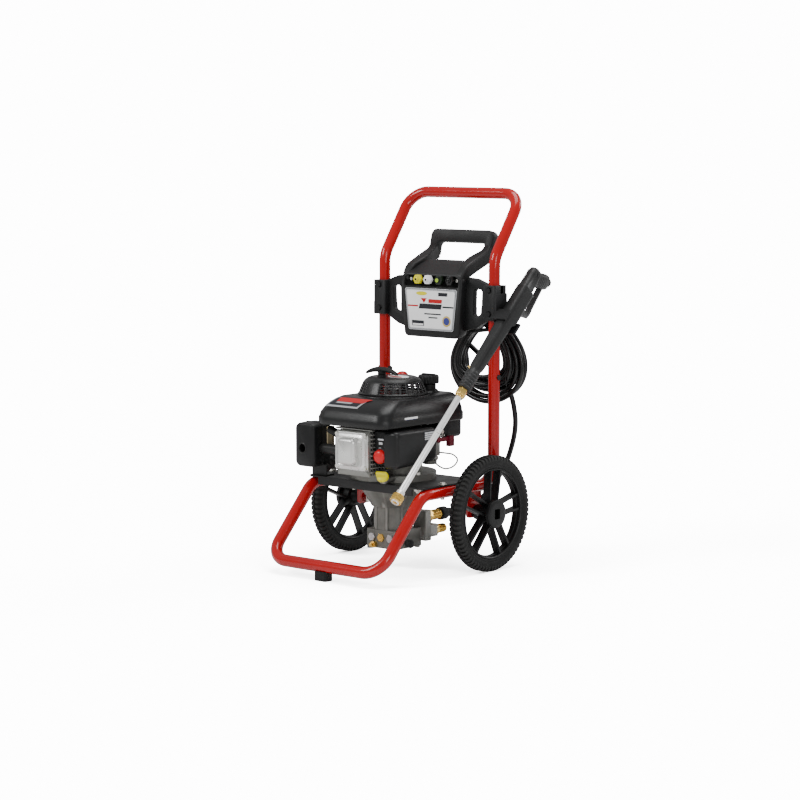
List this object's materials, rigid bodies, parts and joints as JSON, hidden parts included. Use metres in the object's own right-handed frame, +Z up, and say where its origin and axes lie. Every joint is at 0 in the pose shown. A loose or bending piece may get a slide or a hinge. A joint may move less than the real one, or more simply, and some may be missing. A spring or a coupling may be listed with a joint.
{
  "type": "pressure washer",
  "caption": "Petrol pressure washer on a two-wheeled tube frame, with vertical engine, pump under the deck, nozzle panel, hung hose and a lift-off spray gun.",
  "frame": {"origin": "on the ground, under the middle of the machine's bounding box without its hose", "axes": "+Z up, -Y towards the front foot, +X to the machine's right, along the wheel axle"},
  "size_m": [0.445, 0.5803, 0.8273],
  "materials": {
    "red_paint": "gloss powder coat",
    "black_paint": "satin",
    "zinc": "zinc plated",
    "steel": "machined",
    "cast_grey": "as cast",
    "silver": "painted silver",
    "black_plastic": "fine grain",
    "grey_plastic": "smooth",
    "rim_plastic": "moulded",
    "tyre": "moulded rubber",
    "rubber": "matte",
    "red_rubber": "gloss",
    "red_plastic": "gloss",
    "dark_red_plastic": "gloss",
    "yellow_plastic": "gloss",
    "white_plastic": "gloss",
    "green_plastic": "gloss",
    "black_gloss": "gloss",
    "cream": "matte",
    "brass": "turned",
    "label": "printed film",
    "hose": "smooth jacket"
  },
  "bodies": {
    "chassis": {"base_frame": "red_paint", "handle_frame": "red_paint", "black_screws": "black_paint", "zinc_bolts": "zinc", "stub_axles": "zinc", "front_foot": "rubber", "deck_plate": "black_paint", "crankcase": "cast_grey", "cylinder_head": "silver", "valve_cover": "silver", "spark_plug": "black_gloss", "muffler": "black_paint", "heat_shield": "cream", "air_filter_base": "grey_plastic", "air_filter_cover": "black_plastic", "carburettor": "cast_grey", "blower_housing": "black_plastic", "fuel_tank": "black_plastic", "recoil_cover": "black_plastic", "pump_flange": "cast_grey", "pump_body": "cast_grey", "pump_head": "cast_grey", "pump_outlet": "brass", "water_inlet": "black_gloss", "relief_valve": "brass", "panel_body": "black_plastic", "panel_clamps": "black_plastic", "label_plate": "label", "hose_hook": "black_plastic", "hose_coil": "hose", "hose_run": "hose", "hose_swivel": "rubber", "hose_end_fitting": "brass", "gun_holder": "black_plastic"},
    "left_wheel": {"left_wheel_rim": "rim_plastic", "left_tyre": "tyre"},
    "right_wheel": {"right_wheel_rim": "rim_plastic", "right_tyre": "tyre"},
    "crank": {"crankshaft": "steel", "flywheel": "cast_grey", "wobble_plate": "steel"},
    "starter_pulley": {"starter_pulley": "white_plastic"},
    "starter_grip": {"starter_grip": "rubber", "starter_rope": "hose"},
    "fuel_cap": {"fuel_cap": "black_plastic"},
    "oil_cap": {"oil_cap": "yellow_plastic"},
    "primer_bulb": {"primer_bulb": "red_rubber"},
    "choke_lever": {"choke_lever": "dark_red_plastic"},
    "stop_knob": {"stop_knob": "red_plastic"},
    "unloader_knob": {"unloader_knob": "black_plastic"},
    "nozzle_yellow": {"nozzle_yellow": "yellow_plastic"},
    "nozzle_white": {"nozzle_white": "white_plastic"},
    "nozzle_green": {"nozzle_green": "green_plastic"},
    "nozzle_black": {"nozzle_black": "black_gloss"},
    "gun": {"gun_body": "black_plastic", "gun_inlet": "black_plastic", "gun_collar": "brass", "lance_tube": "steel"},
    "gun_trigger": {"gun_trigger": "black_gloss"},
    "coupler_collar": {"coupler_collar": "brass"}
  },
  "joints": [
    {"name": "left_wheel_spin", "type": "hinge", "parent": "chassis", "child": "left_wheel", "pos_m": [-0.2, 0.03953, 0.127], "axis": [1, 0, 0], "continuous": true},
    {"name": "right_wheel_spin", "type": "hinge", "parent": "chassis", "child": "right_wheel", "pos_m": [0.2, 0.03953, 0.127], "axis": [1, 0, 0], "continuous": true},
    {"name": "crank_spin", "type": "hinge", "parent": "chassis", "child": "crank", "pos_m": [0, -0.04947, 0.25], "axis": [0, 0, 1], "continuous": true},
    {"name": "starter_pull", "type": "slide", "parent": "chassis", "child": "starter_grip", "axis": [0, 0, 1], "range_m": [0, 0.5], "stiffness_N_per_m": 4, "springref_m": -0.3, "deforming": ["starter_rope"]},
    {"name": "pulley_turn", "type": "hinge", "parent": "chassis", "child": "starter_pulley", "pos_m": [0, -0.04947, 0.397], "axis": [0, 0, 1], "range_deg": [0, 1800]},
    {"name": "fuel_cap_turn", "type": "hinge", "parent": "chassis", "child": "fuel_cap", "pos_m": [0.022, 0.04553, 0.405], "axis": [0, 0, 1], "range_deg": [0, 90]},
    {"name": "oil_cap_turn", "type": "hinge", "parent": "chassis", "child": "oil_cap", "pos_m": [0.066, -0.15847, 0.213], "axis": [0.2007, -0.6021, 0.7727], "range_deg": [0, 90]},
    {"name": "primer_press", "type": "slide", "parent": "chassis", "child": "primer_bulb", "axis": [0, 1, 0], "range_m": [0, 0.004], "stiffness_N_per_m": 300},
    {"name": "choke_turn", "type": "hinge", "parent": "chassis", "child": "choke_lever", "pos_m": [0.099, -0.01247, 0.284], "axis": [1, 0, 0], "range_deg": [-5, 35]},
    {"name": "stop_turn", "type": "hinge", "parent": "chassis", "child": "stop_knob", "pos_m": [-0.044, 0.03353, 0.405], "axis": [0, 0, 1], "range_deg": [0, 90]},
    {"name": "unloader_turn", "type": "hinge", "parent": "chassis", "child": "unloader_knob", "pos_m": [0.06, -0.06547, 0.058], "axis": [1, 0, 0], "range_deg": [0, 270]},
    {"name": "nozzle_yellow_pull", "type": "slide", "parent": "chassis", "child": "nozzle_yellow", "axis": [0, -1, 0], "range_m": [0, 0.06]},
    {"name": "nozzle_white_pull", "type": "slide", "parent": "chassis", "child": "nozzle_white", "axis": [0, -1, 0], "range_m": [0, 0.06]},
    {"name": "nozzle_green_pull", "type": "slide", "parent": "chassis", "child": "nozzle_green", "axis": [0, -1, 0], "range_m": [0, 0.06]},
    {"name": "nozzle_black_pull", "type": "slide", "parent": "chassis", "child": "nozzle_black", "axis": [0, -1, 0], "range_m": [0, 0.06]},
    {"name": "gun_lift_off", "type": "slide", "parent": "chassis", "child": "gun", "axis": [1, 0, 0], "range_m": [0, 0.15]},
    {"name": "trigger_pull", "type": "hinge", "parent": "gun", "child": "gun_trigger", "pos_m": [0.18953, 0.1799, 0.60159], "axis": [-0.9397, -0.2377, 0.2459], "range_deg": [0, 12], "stiffness_Nm_per_rad": 0.4},
    {"name": "coupler_slide", "type": "slide", "parent": "gun", "child": "coupler_collar", "axis": [0, 0.719, 0.695], "range_m": [0, 0.006], "stiffness_N_per_m": 800}
  ],
  "couplings": [
    {"joint": "pulley_turn", "follows": "starter_pull", "rad_per_m": 62.5}
  ]
}
